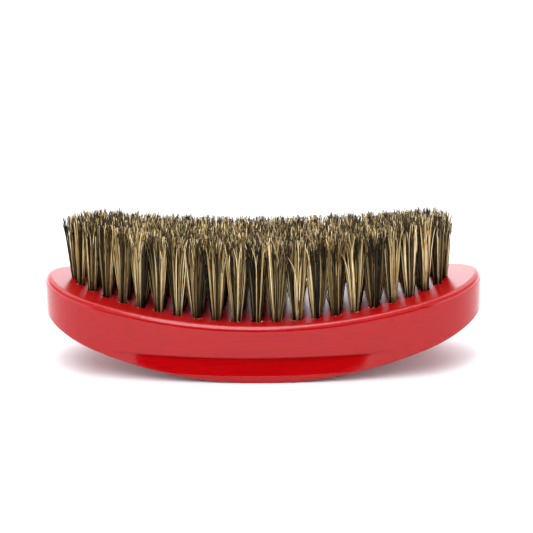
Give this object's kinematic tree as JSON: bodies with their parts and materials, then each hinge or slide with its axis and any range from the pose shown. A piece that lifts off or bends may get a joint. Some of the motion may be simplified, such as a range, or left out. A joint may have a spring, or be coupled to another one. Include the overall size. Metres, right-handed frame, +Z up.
{
  "type": "beard brush",
  "caption": "Palm-held beard brush: oval curved wooden back with red lacquer, a finger groove on each side, and rows of natural bristle tufts set in drilled holes.",
  "frame": {"origin": "the lowest point of the rounded back, in the middle of the brush's length and width, on the small flat that it rests on", "axes": "+X along the brush's length, +Y across its width, +Z up, the way the bristles point"},
  "size_m": [0.13, 0.057, 0.0437],
  "materials": {
    "lacquered_wood": "clear red gloss lacquer over close-grained wood",
    "bristle": "natural hog bristle, mixed straw, brown and black",
    "anchor_wire": "drawn flat wire"
  },
  "bodies": {
    "root": {"wooden_back": "lacquered_wood", "bristle_row_1_front": "bristle", "bristle_row_2": "bristle", "bristle_row_3": "bristle", "bristle_row_4": "bristle", "bristle_row_5_middle": "bristle", "bristle_row_6": "bristle", "bristle_row_7": "bristle", "bristle_row_8": "bristle", "bristle_row_9_rear": "bristle", "anchor_row_1_front": "anchor_wire", "anchor_row_2": "anchor_wire", "anchor_row_3": "anchor_wire", "anchor_row_4": "anchor_wire", "anchor_row_5_middle": "anchor_wire", "anchor_row_6": "anchor_wire", "anchor_row_7": "anchor_wire", "anchor_row_8": "anchor_wire", "anchor_row_9_rear": "anchor_wire"}
  },
  "joints": []
}
